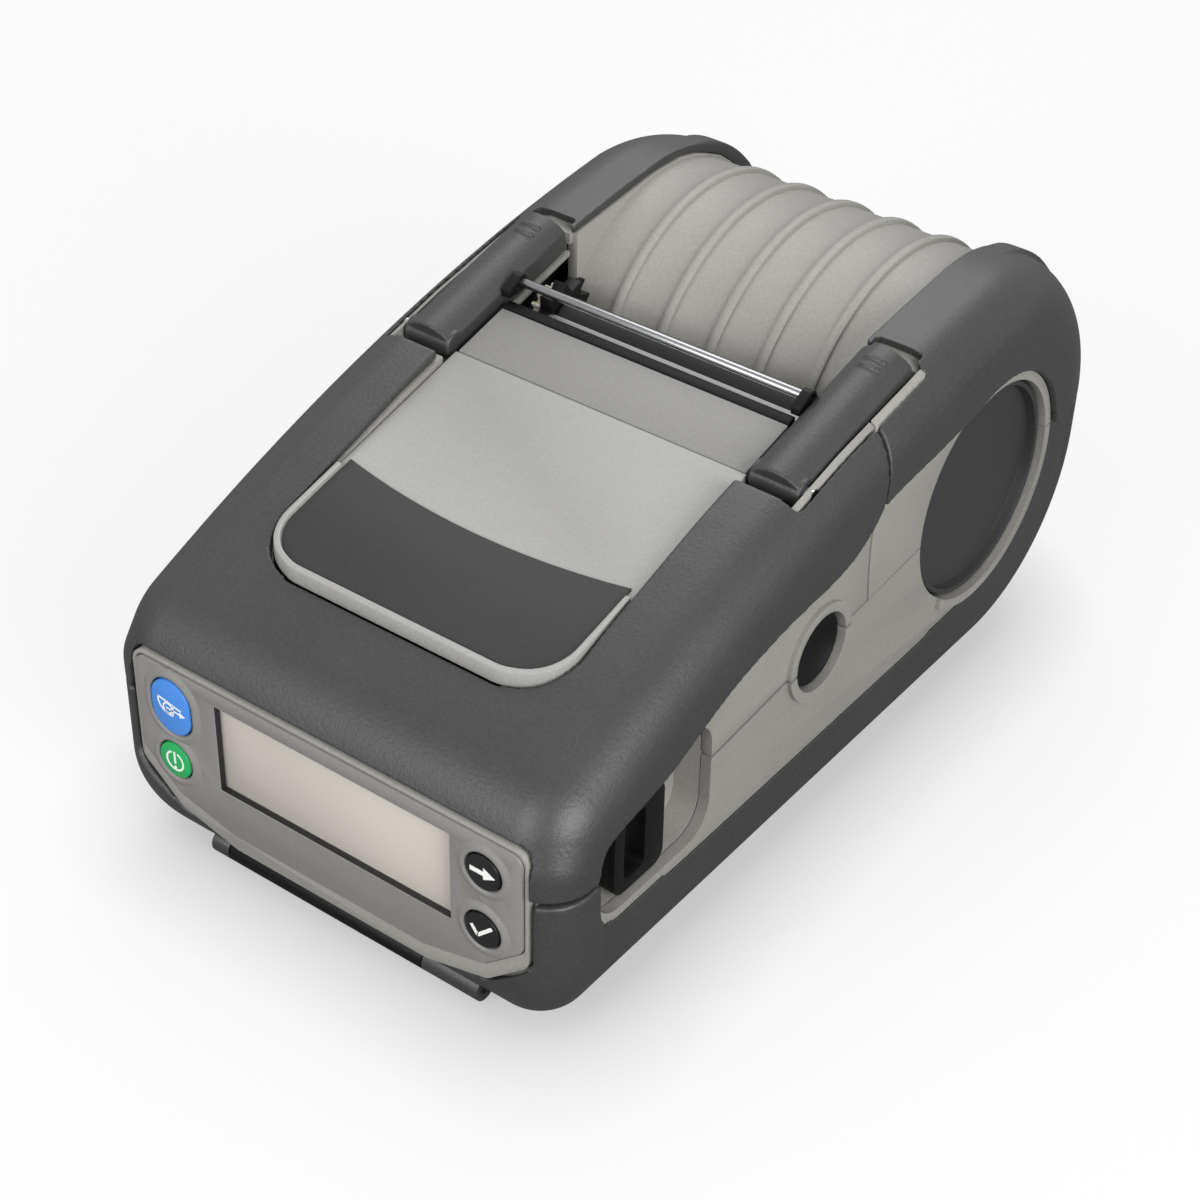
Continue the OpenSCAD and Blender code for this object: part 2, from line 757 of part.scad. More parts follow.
module feed_button() { key(0, "#5a8fd8"); }
module power_button() { key(1, "#35b56a"); }
module arrow_button() { key(2, "#1a1a1a"); }
module check_button() { key(3, "#1a1a1a"); }

// Main board on the battery bay's roof
board_z = bay_z1 + 1.6;
module main_board() color("#2f6b3a") {
  block([-28, front_y + 12, board_z + 0.3], [28, bay_y1 - 2, board_z + 1.9]);
  block([-12, front_y + 22, board_z + 1.8], [6, front_y + 36, board_z + 4]);
  block([12, front_y + 20, board_z + 1.8], [22, front_y + 40, board_z + 6]);
}

// Print chassis: two side plates and a cross member on the case floor
chassis_x = 31.2;
chassis_t = 1.2;
chassis_y0 = bay_y1 + 2.4;
chassis_y1 = 12;
chassis_top = 58;
floor_z = rubber + wall;
motor_r = 10;
motor_l = 8.4;

module print_chassis() color("#2b2b2b") {
  difference() {
    union() {
      for (x0 = [-chassis_x - chassis_t, chassis_x])
        block([x0, chassis_y0, floor_z], [x0 + chassis_t, chassis_y1, chassis_top]);
      block([-chassis_x - 0.5, chassis_y0, floor_z], [chassis_x + 0.5, chassis_y0 + 2, 26]);
      at_nip() block([-chassis_x - 0.5, spring_y0 - 3, -9], [chassis_x + 0.5, spring_y0, -3.2]);
    }
    rod_x(-chassis_x - chassis_t - 1, -chassis_x + 1, motor_c[0], motor_c[1], 3.85);
    rod_x(-chassis_x - chassis_t - 1, -chassis_x + 1, idler_c[0], idler_c[1], 1.05);
  }
}

// Print head and its aluminium bracket, laid along the way that the platen leaves
head_tilt = atan2(-leave_u[0], -leave_u[1]);
module at_nip() {
  translate([0, platen_y, platen_z]) rotate([-head_tilt, 0, 0]) children();
}

head_gap = 0.25;
spring_l = 5;
spring_y0 = -platen_r - head_gap - 4 - spring_l;
roller_x0 = -23.2;
roller_x1 = 28;
module print_head() color("#d8d4c8") {
  at_nip() block([roller_x0, -platen_r - head_gap - 1, -8], [roller_x1, -platen_r - head_gap, 2]);
}

module head_bracket() color("#9aa0a4") {
  at_nip() {
    block([roller_x0, -platen_r - head_gap - 4, -10.6], [roller_x1, -platen_r - head_gap - 1, 2.4]);
    block([roller_x0, -platen_r - head_gap - 8, -10.6], [roller_x1, -platen_r - head_gap - 3.9, -8.6]);
    rod_x(-chassis_x, chassis_x, -platen_r - head_gap - 7, -9.6, 1.2);
  }
}

// Two springs behind the print head, shown as plain tubes
module head_springs() color("#b0b0b0") {
  for (x = [-14, 14]) at_nip() translate([x, spring_y0 + spring_l, -5])
    rotate([90, 0, 0]) difference() {
      cylinder(r = 2.4, h = spring_l);
      translate([0, 0, -1]) cylinder(r = 1.6, h = spring_l + 2);
    }
}

// Flat stepper motor outside the left chassis plate
module stepper_motor() color("#8f9498") {
  rod_x(-chassis_x - chassis_t - motor_l, -chassis_x - chassis_t, motor_c[0], motor_c[1], motor_r);
  rod_x(-chassis_x - chassis_t - 0.1, -chassis_x + 0.2, motor_c[0], motor_c[1], 3.8);
}

module idler_pin() color("#b8bcc0") {
  rod_x(-chassis_x - chassis_t, -gear_x + 0.1, idler_c[0], idler_c[1], 1);
}

// Gears on the left, inside the chassis plate and beside the feed wheel
gear_x = 26.4;
gear_t = 1.8;
module gear(teeth, turn, bore) {
  pitch_r = gear_m * teeth / 2;
  root_r = pitch_r - 1.25 * gear_m;
  tip_r = pitch_r + 0.95 * gear_m;
  step = 360 / teeth;
  rotate([0, 90, 0]) rotate(turn) linear_extrude(gear_t) difference() {
    union() {
      circle(r = root_r, $fn = 60);
      for (i = [0 : teeth - 1]) rotate(i * step) polygon([
        [root_r - 0.3, -gear_m * 0.95], [pitch_r, -gear_m * 0.68], [tip_r, -gear_m * 0.32],
        [tip_r, gear_m * 0.32], [pitch_r, gear_m * 0.68], [root_r - 0.3, gear_m * 0.95]
      ]);
    }
    circle(r = bore);
  }
}

// Turn of a gear so that a tooth points along direction u in the (y, z) plane
function toward(u) = 180 - atan2(u[0], u[1]);

module platen_gear() color("#d9d5c5") {
  translate([-gear_x - gear_t, platen_y, platen_z]) gear(platen_teeth, toward(leave_u), shaft_r);
}

module idler_gear() color("#d9d5c5") {
  translate([-gear_x - gear_t, idler_c[0], idler_c[1]]) gear(idler_teeth, toward(-leave_u) + 180 / idler_teeth, 1.05);
}

module motor_pinion() color("#c9a24a") {
  pinion_u = (idler_c - motor_c) / norm(idler_c - motor_c);
  idler_phase = (toward(-leave_u) + 180 / idler_teeth - toward(-pinion_u)) * idler_teeth / pinion_teeth;
  translate([-gear_x - gear_t, motor_c[0], motor_c[1]])
    gear(pinion_teeth, toward(pinion_u) - idler_phase + 180 / pinion_teeth, 0.8);
  rod_x(-chassis_x + 0.4, -gear_x, motor_c[0], motor_c[1], 0.8);
}

// Platen roller, its shaft, and the star-shaped feed wheel at its left end
frame_x = 28.4;
frame_t = 1.2;
module platen_roller() color("#1b1b1b") {
  difference() {
    rod_x(roller_x0, roller_x1, platen_y, platen_z, platen_r);
    rod_x(roller_x0 - 1, roller_x1 + 1, platen_y, platen_z, shaft_r);
  }
}

module platen_shaft() color("#c2c6ca") {
  rod_x(-frame_x - frame_t - 0.1, frame_x + frame_t + 0.1, platen_y, platen_z, shaft_r);
}

star_tips = 10;
star_r = 7;
star_t = 2.6;
module feed_wheel() color("#161616") {
  translate([-gear_x + 0.2, platen_y, platen_z]) rotate([0, 90, 0]) difference() {
    linear_extrude(star_t) polygon([for (i = [0 : 2 * star_tips - 1])
      (i % 2 == 0 ? star_r : star_r * 0.72) * [cos(i * 180 / star_tips), sin(i * 180 / star_tips)]]);
    translate([0, 0, -1]) cylinder(r = shaft_r, h = 8);
  }
}

// Two black brackets on the dome's front edge that carry the platen
module platen_brackets() color("#202020") {
  difference() {
    for (x0 = [-frame_x - frame_t, frame_x]) across(x0, x0 + frame_t) hull() {
      translate([platen_y, platen_z]) circle(r = 3.6);
      translate([hump_c[0] - dome_in, platen_z - 6]) square([6, 7]);
    }
    rod_x(-half_w, half_w, platen_y, platen_z, shaft_r + 0.05);
    rod_x(-half_w, half_w, hump_c[0], hump_c[1], dome_r);
  }
}

// Media cover: ribbed dome, the walls beside it, the outer cheeks and the knuckles
dome_a0 = 10;
dome_a1 = 156;
module cover_shell() color("#a0a09c") {
  difference() {
    union() {
      intersection() {
        difference() {
          form(rubber + fit, 16);
          form(rubber + wall, 12);
          block([-dome_half - 1, -big, -big], [dome_half + 1, big, big]);
        }
        across(-half_w, half_w) cover_region();
      }
      intersection() {
        difference() {
          both_sides() block([dome_half, hump_c[0] - 25.4, 30], [dome_half + dome_wall, rear_y, big]);
          rod_x(-half_w, half_w, hump_c[0], hump_c[1], dome_in);
        }
        form(rubber + fit, 16);
        across(-half_w, half_w) cover_region();
      }
      dome_sector() union() {
        difference() {
          rod_x(-dome_half - 0.5, dome_half + 0.5, hump_c[0], hump_c[1], dome_r);
          rod_x(-dome_half - 1, dome_half + 1, hump_c[0], hump_c[1], dome_in);
        }
        for (i = [0 : rib_count - 1]) dome_rib((i - (rib_count - 1) / 2) * rib_pitch);
      }
    }
    for (k = base_knuckles)
      rod_x(k[0] - knuckle_gap, k[1] + knuckle_gap, hinge_y, hinge_z, relief_r);
    both_sides() rod_x(inner_x - 1, half_w, window_y, window_z, window_r);
    both_sides() rod_x(knuckle_end - 0.1, half_w + 1, hinge_y, hinge_z, relief_r);
    hinge_bore();
    both_sides() block([well_x0 - 1, 0, 30], [well_x1 - 0.1, well_y1 + 0.4, big]);
  }
  intersection() {
    form(0.5, 16);
    across(-half_w, half_w) cover_region();
    both_sides() block([lever_x1 + 0.5, 0, 56], [well_x1 + 0.1, well_y1 + 0.6, 80]);
  }
  difference() {
    both_sides() {
      rod_x(knuckle_cover[0], knuckle_cover[1], hinge_y, hinge_z, knuckle_r);
      block([knuckle_cover[0], hinge_y - knuckle_r, hinge_z], [knuckle_cover[1], hinge_y + 0.6, hinge_z + 6]);
    }
    hinge_bore();
    rod_x(-half_w, half_w, hump_c[0], hump_c[1], dome_in);
  }
  both_sides() window_ring() cover_region();
}

module dome_sector() {
  intersection() {
    children();
    across(-half_w, half_w) polygon(concat([hump_c],
      [for (i = [0 : 4]) arc_pt(hump_c, 60, dome_a0 + (dome_a1 - dome_a0) * i / 4)]));
  }
}

module dome_rib(x) {
  translate([x, hump_c[0], hump_c[1]]) rotate([0, 90, 0]) rotate_extrude($fn = 96)
    translate([dome_r - 0.2, 0]) intersection() {
      translate([rib_h + 0.2 - rib_w, 0]) circle(r = rib_w, $fn = 24);
      translate([0, -rib_w / 2]) square([rib_h + 0.4, rib_w]);
    }
}

// Rubber over one cheek of the cover, with the raised rail beside the dome
rail_shift = 1.5;
module cover_bumper() {
  difference() {
    union() {
      difference() {
        form(0, 24);
        form(rubber, 16);
      }
      difference() {
        rod_x(dome_half + 0.1, dome_half + 4.5, hump_c[0] + rail_shift, hump_c[1], hump_r);
        rod_x(dome_half, dome_half + 5, hump_c[0], hump_c[1], hump_r - rubber + fit);
        block([0, rear_y, 0], [half_w, big, big]);
        block([0, -big, 0], [half_w, hump_c[0] + 4, big]);
      }
    }
    block([-big, -big, -big], [dome_half + 0.1, big, big]);
    across(-half_w, half_w + 1) difference() {
      square(3 * big, center = true);
      intersection() {
        upper_rubber_region();
        cover_region();
      }
    }
    rod_x(inner_x, half_w + 1, window_y, window_z, window_r + window_ring_w + 0.2);
    block([well_x0 - 2, -big, 30], [well_x1 + 0.1, well_y1 + 0.4, big]);
    translate([(lever_x0 + lever_x1) / 2, well_y1 - 1, plate_z(well_y1) - 1.5])
      rotate([-90 + plate_angle, 0, 0]) cylinder(r = 4.6, h = 4);
    rod_x(-half_w, half_w + 1, hinge_y, hinge_z, relief_r);
    block([0, hinge_y, 0], [half_w + 1, big, hinge_z]);
  }
}

module cover_bumper_right() color("#454545") cover_bumper();
module cover_bumper_left() color("#454545") mirror([1, 0, 0]) cover_bumper();

// Catch on the inside of the right cheek, which the latch hook meets
catch_y = seam_y + 3;
catch_z = 47;
catch_x = lever_x1 + 0.4;
module cover_catch() color("#202020") {
  block([catch_x, catch_y, catch_z], [inner_x, catch_y + 5, catch_z + 4]);
}

// Levers of the peeler bail: a crowned bar with a round front lip and two finger ridges
lever_l = (lever_rear_y - lever_front_y) / cos(plate_angle);
module lever() {
  mid = (lever_x0 + lever_x1) / 2;
  half = (lever_x1 - lever_x0) / 2;
  crown = 2.2;
  crown_r = (half^2 + crown^2) / (2 * crown);
  edge = 1.4;
  difference() {
    union() {
      translate([mid, lever_front_y, plate_z(lever_front_y)]) rotate([plate_angle, 0, 0]) {
        intersection() {
          block([-half, 0, -2.4], [half, lever_l, 6]);
          translate([0, 0, edge + crown - crown_r]) rotate([-90, 0, 0]) cylinder(r = crown_r, h = lever_l);
        }
        for (y = [lever_l - 5.6, lever_l - 3.6]) intersection() {
          block([-half * 0.4, y, 0], [half * 0.4, y + 0.7, 6]);
          translate([0, 0, edge + crown - crown_r + 0.45]) rotate([-90, 0, 0]) cylinder(r = crown_r, h = lever_l);
        }
      }
      rod_x(lever_x0, lever_x1, lever_pin[0], lever_pin[1], 2.4);
    }
    rod_x(pin_x0 - 0.1, lever_x1 + 1, lever_pin[0], lever_pin[1], lever_pin_r + 0.05);
  }
}

module lever_right() color("#454545") lever();
module lever_left() color("#454545") mirror([1, 0, 0]) lever();

// Stub pins in the outer walls of the wells, which carry the levers
pin_x0 = lever_x1 - 5;
module lever_pins() color("#b8bcc0") {
  both_sides() rod_x(pin_x0, well_x1 - 0.4, lever_pin[0], lever_pin[1], lever_pin_r);
}

// Chrome rod and the arms that hold it to the levers
arm_t = 1.8;
rod_c = [4, 70.3];
module peeler_rod() color("#d8dadc") {
  rod_x(-lever_x0 + 0.5, lever_x0 - 0.5, rod_c[0], rod_c[1], rod_r);
}

module bail_arms() color("#1c1c1c") {
  both_sides() difference() {
    across(lever_x0 - arm_t, lever_x0) hull() {
      translate(rod_c) circle(r = rod_r + 0.6, $fn = 32);
      translate([rod_c[0] - 3.4, plate_z(rod_c[0] - 3) + 1]) square([2, 1.4]);
    }
    rod_x(0, lever_x0 + 1, rod_c[0], rod_c[1], rod_r);
  }
}

// Dark cups behind the side windows: a disc with a rim inside the window
cup_gap = 0.5;
module side_disc() {
  rod_x(inner_x - 3, inner_x - 0.3, window_y, window_z, window_r + 1);
  difference() {
    rod_x(inner_x - 0.4, side_x - 0.5, window_y, window_z, window_r - cup_gap);
    rod_x(inner_x - 1, side_x, window_y, window_z, window_r - cup_gap - 1);
  }
}

module side_disc_right() color("#3a3a3a") side_disc();
module side_disc_left() color("#3a3a3a") mirror([1, 0, 0]) side_disc();

// Recess for the strap, a light cup let into both halves of the case
module strap_pocket() {
  difference() {
    across(side_x - recess_d - 1.2, inner_x + recess_seat - fit) recess_outline(0);
    across(side_x - recess_d, half_w) recess_outline(-recess_lip);
  }
}

module strap_pocket_right() color("#9b9a95") strap_pocket();
module strap_pocket_left() color("#9b9a95") mirror([1, 0, 0]) strap_pocket();

// Black eyelet for the strap: a round-cornered loop on a thick post
eyelet_z = 28.4;
module strap_eyelet() {
  across(side_x - 5, side_x - 1.2) difference() {
    translate([recess_y - 2.4, eyelet_z]) offset(r = 2.4, $fn = 24) square([7.6, 11.6], center = true);
    translate([recess_y - 3.6, eyelet_z]) offset(r = 1.2, $fn = 24) square([2.8, 9.4], center = true);
  }
  block([side_x - recess_d, recess_y + 0.2, eyelet_z - 8], [side_x - 4.9, recess_y + 3.4, eyelet_z + 8]);
}

module strap_eyelet_right() color("#1d1d1d") strap_eyelet();
module strap_eyelet_left() color("#1d1d1d") mirror([1, 0, 0]) strap_eyelet();

module hinge_pin() color("#b8bcc0") {
  rod_x(-knuckle_end + 0.5, knuckle_end - 0.5, hinge_y, hinge_z, hinge_pin_r);
}

module case_screws() color("#8a8d90") {
  for (side = [-1, 1]) for (y = screw_ys) translate([side * screw_x, y, 0]) {
    translate([0, 0, 2]) cylinder(r = screw_head_r, h = 1.7);
    translate([0, 0, 3.6]) cylinder(r = 1.2, h = 8);
  }
}

// Release button in the right side and the hook that it pushes
latch_face_x = side_x - 0.5;
latch_dish_r = ((latch_hole_r - 1.2)^2 + 1.8^2) / (2 * 1.8);
hook_x = 37.2;
hook_t = 1.6;
hook_pivot_z = 12;
module latch_button() color("#242424") {
  difference() {
    rod_x(latch_face_x - 3.2, latch_face_x, latch_y, latch_z, latch_hole_r - 0.6);
    translate([latch_face_x - 1.8 + latch_dish_r, latch_y, latch_z]) sphere(r = latch_dish_r, $fn = 96);
  }
  rod_x(hook_x + hook_t / 2 + 0.3, latch_face_x - 3.1, latch_y, latch_z, 3);
}

module latch_hook() color("#2a2a2a") {
  difference() {
    union() {
      block([hook_x - hook_t / 2, latch_y - 4, hook_pivot_z], [hook_x + hook_t / 2, latch_y + 4, catch_z + 6]);
      translate([hook_x, latch_y - 4, hook_pivot_z]) rotate([-90, 0, 0]) cylinder(r = 2, h = 8);
      block([hook_x - hook_t / 2, latch_y - 4, catch_z + 1], [hook_x + hook_t / 2, catch_y + 4, catch_z + 6]);
      block([hook_x, catch_y, catch_z + 4.3], [catch_x - 0.3, catch_y + 4, catch_z + 6]);
    }
    translate([hook_x, latch_y - 6, hook_pivot_z]) rotate([-90, 0, 0]) cylinder(r = 1.05, h = 12);
  }
}

module latch_pin() color("#b8bcc0") {
  translate([hook_x, latch_y - 6, hook_pivot_z]) rotate([-90, 0, 0]) cylinder(r = 1, h = 12);
}

// Lower half of the media bay: a black tub round the roll
tub_r = dome_in - 1.9;
tub_out = tub_r + 1.5;
module media_tub() color("#2b2b2b") {
  difference() {
    rod_x(-dome_half - 1.2, dome_half + 1.2, hump_c[0], hump_c[1], tub_out);
    rod_x(-dome_half, dome_half, hump_c[0], hump_c[1], tub_r);
    across(-half_w, half_w) polygon([[-big, split_z(-big) - 0.6], [hinge_y - 4, split_z(hinge_y) - 0.6],
      [big, split_z(hinge_y) - 0.6], [big, big], [-big, big]]);
  }
}

// Rod across the tub that the roll guides slide on
guide_rod_c = [hump_c[0] - 2, hump_c[1] - tub_r + 5];
module guide_rod() color("#c2c6ca") {
  rod_x(-dome_half + 0.1, dome_half - 0.1, guide_rod_c[0], guide_rod_c[1], 1.5);
}

// Roll guide: a disc with a hub for the core, on a foot that slides on the rod
guide_c = [hump_c[0] - 2, hump_c[1] - 1];
module media_guide() {
  x1 = dome_half - 0.5;
  difference() {
    union() {
      across(x1 - 2, x1) hull() {
        translate(guide_rod_c) circle(r = 3.4);
        translate(guide_c) circle(r = 6);
      }
      rod_x(x1 - 3.2, x1 - 1.9, guide_c[0], guide_c[1], 13);
      rod_x(x1 - 8, x1 - 3, guide_c[0], guide_c[1], 9);
      rod_x(x1 - 8, x1, guide_rod_c[0], guide_rod_c[1], 3);
    }
    rod_x(x1 - 9, x1 + 1, guide_rod_c[0], guide_rod_c[1], 1.55);
  }
}

module media_guide_right() color("#2a2a2a") media_guide();
module media_guide_left() color("#2a2a2a") mirror([1, 0, 0]) media_guide();

// Battery pack with a round front rail that it swings on
module battery_pack() color("#3c3c3c") {
  difference() {
    union() {
      intersection() {
        block([-battery_w / 2, battery_y0, battery_z0], [battery_w / 2, battery_y1, battery_z1]);
        rod_x(-half_w, half_w, rail_c[0], rail_c[1], battery_y1 - rail_c[0]);
      }
      rod_x(rail_x0, rail_x1, rail_c[0], rail_c[1], rail_r);
      block([rail_x0, rail_c[0], battery_z0], [rail_x1, battery_y0 + 1, rail_c[1] + 1.4]);
    }
    rod_x(rail_x0 - 1, rail_x0 + rail_pin_l + 0.4, rail_c[0], rail_c[1], rail_pin_r + fit);
    rod_x(rail_x1 - rail_pin_l - 0.4, rail_x1 + 1, rail_c[0], rail_c[1], rail_pin_r + fit);
  }
}

// Sliding catch behind the battery
module battery_latch() color("#242424") {
  block([-catch_half, battery_y1 + 0.3, rubber + 0.1], [catch_half, battery_y1 + 0.3 + catch_t, rubber + 4]);
}

base_case();
top_case();
front_bumper();
base_bumper();
top_plate();
head_cover();
badge_plate();
tear_bar();
control_panel();
panel_frame();
lcd_window();
lcd_module();
keypad_mat();
main_board();
print_chassis();
print_head();
head_bracket();
head_springs();
stepper_motor();
idler_pin();
side_disc_right();
side_disc_left();
strap_pocket_right();
strap_pocket_left();
strap_eyelet_right();
strap_eyelet_left();
lever_pins();
hinge_pin();
case_screws();
latch_pin();
media_tub();
guide_rod();
cover_shell();
cover_bumper_right();
cover_bumper_left();
platen_brackets();
cover_catch();
platen_roller();
platen_shaft();
platen_gear();
feed_wheel();
idler_gear();
motor_pinion();
lever_right();
lever_left();
peeler_rod();
bail_arms();
latch_button();
latch_hook();
feed_button();
power_button();
arrow_button();
check_button();
media_guide_right();
media_guide_left();
battery_pack();
battery_latch();
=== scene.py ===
# %% [markdown]
# # A portable label printer
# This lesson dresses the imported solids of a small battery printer. Its case is moulded plastic,
# most of it under rubber bumpers, with a round media cover at the rear and a display in front.
# Each step says what the real piece is, and then makes it.

import json
import math

import bpy
import numpy
from mathutils import Matrix, Vector
from mathutils.bvhtree import BVHTree


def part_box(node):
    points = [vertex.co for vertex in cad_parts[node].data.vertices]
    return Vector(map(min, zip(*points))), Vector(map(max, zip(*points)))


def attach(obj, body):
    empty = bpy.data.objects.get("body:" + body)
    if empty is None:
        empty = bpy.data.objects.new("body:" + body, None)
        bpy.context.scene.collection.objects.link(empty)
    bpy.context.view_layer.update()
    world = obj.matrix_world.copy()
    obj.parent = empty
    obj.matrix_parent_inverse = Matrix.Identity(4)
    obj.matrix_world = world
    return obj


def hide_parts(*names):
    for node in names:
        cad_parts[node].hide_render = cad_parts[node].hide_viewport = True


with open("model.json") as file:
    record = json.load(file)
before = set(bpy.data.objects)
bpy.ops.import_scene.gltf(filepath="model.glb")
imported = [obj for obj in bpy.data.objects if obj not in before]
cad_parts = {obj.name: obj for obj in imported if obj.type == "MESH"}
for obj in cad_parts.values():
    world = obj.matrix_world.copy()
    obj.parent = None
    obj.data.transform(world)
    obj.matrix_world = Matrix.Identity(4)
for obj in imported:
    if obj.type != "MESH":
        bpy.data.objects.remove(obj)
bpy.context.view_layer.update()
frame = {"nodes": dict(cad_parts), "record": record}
MM = 0.001
home_of = {n: body for body, nodes in frame["record"]["behaviour"]["bodies"].items() for n in nodes}
slot_of = {s["node"]: s["material_slot"] for s in frame["record"]["subparts"]}

# %% [markdown]
# The camera stands where the photographer stood: high over the front right corner, with a long
# lens and a very slight tilt. The angles and the distance come from the case's own edges.

# %% Camera
turn, lift, tilt = math.radians(36.36), math.radians(37.07), math.radians(-1.18)
look_at = Vector((10.0, -24.07, 38.0)) * MM
ahead = Vector((-math.sin(turn) * math.cos(lift), math.cos(turn) * math.cos(lift), -math.sin(lift)))
level = Vector((math.cos(turn), math.sin(turn), 0))
above = level.cross(ahead)
right = math.cos(tilt) * level - math.sin(tilt) * above
up = math.sin(tilt) * level + math.cos(tilt) * above
eye = look_at - 421.7 * MM * ahead
camera = bpy.data.objects.new("camera", bpy.data.cameras.new("camera"))
bpy.context.scene.collection.objects.link(camera)
camera.matrix_world = Matrix.Translation(eye) @ Matrix((right, up, -ahead)).transposed().to_4x4()
camera.data.lens = 78.39
camera.data.sensor_width = 36
camera.data.clip_start, camera.data.clip_end = 0.01, 20
bpy.context.scene.camera = camera
print("camera at", [round(v, 3) for v in eye])

# %% [markdown]
# Colours are written as sRGB hex, the way a painter's chart gives them, and one function turns
# them to the linear values that the renderer works in. Every material is a small network of
# nodes, and one function adds a node with its settings and links.

# %% Colour and node helpers
def paint(code):
    parts = [int(code[i:i + 2], 16) / 255 for i in (0, 2, 4)]
    return tuple(p / 12.92 if p <= 0.04045 else ((p + 0.055) / 1.055) ** 2.4 for p in parts) + (1.0,)


def add(tree, kind, settings, links):
    node = tree.nodes.new(kind)
    for key, value in settings.items():
        if isinstance(key, str) and hasattr(node, key):
            setattr(node, key, value)
        else:
            node.inputs[key].default_value = value
    for key, source in links.items():
        tree.links.new(source, node.inputs[key])
    return node


def new_material(name):
    material = bpy.data.materials.new(name)
    material.use_nodes = True
    tree = material.node_tree
    tree.nodes.clear()
    return material, tree


# %% [markdown]
# Moulded plastic and rubber look alike in structure. The tool's wall is spark eroded or etched,
# which leaves a fine even grain, and the colour drifts very slightly over a hand's width. One
# recipe serves them all: two close colours mixed by a broad noise, a fine noise for the grain in
# the colour, and the same grain as bump. Sizes are given in millimetres.

# %% Moulded finish
COLOUR_DRIFT = 18.0


def moulded(name, dark, light, grain, depth, roughness, specular=0.5):
    material, tree = new_material(name)
    place = add(tree, "ShaderNodeTexCoord", {}, {}).outputs["Object"]
    broad = add(tree, "ShaderNodeTexNoise", {"Scale": 1 / (COLOUR_DRIFT * MM), "Detail": 3.0}, {"Vector": place})
    fine = add(tree, "ShaderNodeTexNoise", {"Scale": 1 / (grain * MM), "Detail": 2.0, "Roughness": 0.6},
               {"Vector": place})
    blend = add(tree, "ShaderNodeMath", {"operation": "MULTIPLY_ADD", 1: 0.45},
                {0: broad.outputs["Fac"], 2: fine.outputs["Fac"]})
    span = add(tree, "ShaderNodeMapRange", {"From Min": 0.45, "From Max": 1.0}, {"Value": blend.outputs[0]})
    tone = add(tree, "ShaderNodeMix", {"data_type": "RGBA", 6: paint(dark), 7: paint(light)},
               {0: span.outputs[0]})
    sheen = add(tree, "ShaderNodeMapRange", {"To Min": roughness - 0.05, "To Max": roughness + 0.05},
                {"Value": broad.outputs["Fac"]})
    bump = add(tree, "ShaderNodeBump", {"Strength": 1.0, "Distance": depth * MM},
               {"Height": fine.outputs["Fac"]})
    skin = add(tree, "ShaderNodeBsdfPrincipled", {"IOR": 1.5, "Specular IOR Level": specular},
               {"Base Color": tone.outputs[2], "Roughness": sheen.outputs[0], "Normal": bump.outputs[0]})
    add(tree, "ShaderNodeOutputMaterial", {}, {"Surface": skin.outputs[0]})
    return material


finish = {
    "bumper_rubber": moulded("overmoulded_rubber_eroded", "2e2e2e", "393939", 0.6, 0.06, 0.44, 0.6),
    "case_plastic": moulded("abs_light_grey_etched", "83817c", "918f8a", 0.5, 0.025, 0.55),
    "cover_plastic": moulded("abs_cover_grey_etched", "878580", "95938e", 0.5, 0.025, 0.52),
    "plate_plastic": moulded("abs_plate_grey_satin", "8f8e8b", "9a9996", 0.45, 0.02, 0.5),
    "panel_plastic": moulded("abs_panel_mid_grey_satin", "7a7875", "848280", 0.45, 0.02, 0.45),
    "badge_dark": moulded("polycarbonate_badge_charcoal", "2f2f2f", "373737", 0.4, 0.008, 0.55, 0.25),
    "black_plastic": moulded("acetal_black_satin", "070707", "0d0d0d", 0.5, 0.02, 0.5, specular=0.25),
    # The same black also serves as painted shade on the walls of the display opening.
    "display_dark": moulded("display_housing_black_and_painted_shade", "101010", "191919", 0.5, 0.01, 0.5),
    "circuit_board": moulded("solder_mask_green", "1d5a2c", "246a35", 0.6, 0.01, 0.4),
    "head_ceramic": moulded("alumina_glazed", "cfc9ba", "d9d4c8", 0.5, 0.005, 0.25),
    "gear_nylon": moulded("nylon_natural", "cbc6b4", "d8d4c4", 0.6, 0.01, 0.42),
    "roller_rubber": moulded("silicone_roller_black", "0d0d0d", "151515", 0.35, 0.02, 0.6),
    "key_blue": moulded("key_blue_satin", "3f7fd0", "4a89d8", 0.4, 0.008, 0.38),
    "key_green": moulded("key_green_satin", "1d9a52", "24a55b", 0.4, 0.008, 0.38),
    "key_black": moulded("key_black_satin", "101010", "191919", 0.4, 0.008, 0.38),
    "head_cover": moulded("abs_head_cover_grey_satin", "777674", "82817f", 0.45, 0.02, 0.5),
    "side_disc": moulded("polycarbonate_disc_charcoal", "2b2b2b", "333333", 0.5, 0.01, 0.5),
    "key_ink": moulded("key_legend_white", "e3e3e0", "efefec", 0.4, 0.005, 0.45),
}
print("moulded finishes:", len(finish))

# %% [markdown]
# The metal pieces are small. Drawn steel pins carry faint lines along their length, which a noise
# stretched along X gives, and the peeler rod is polished, so it mirrors the room.

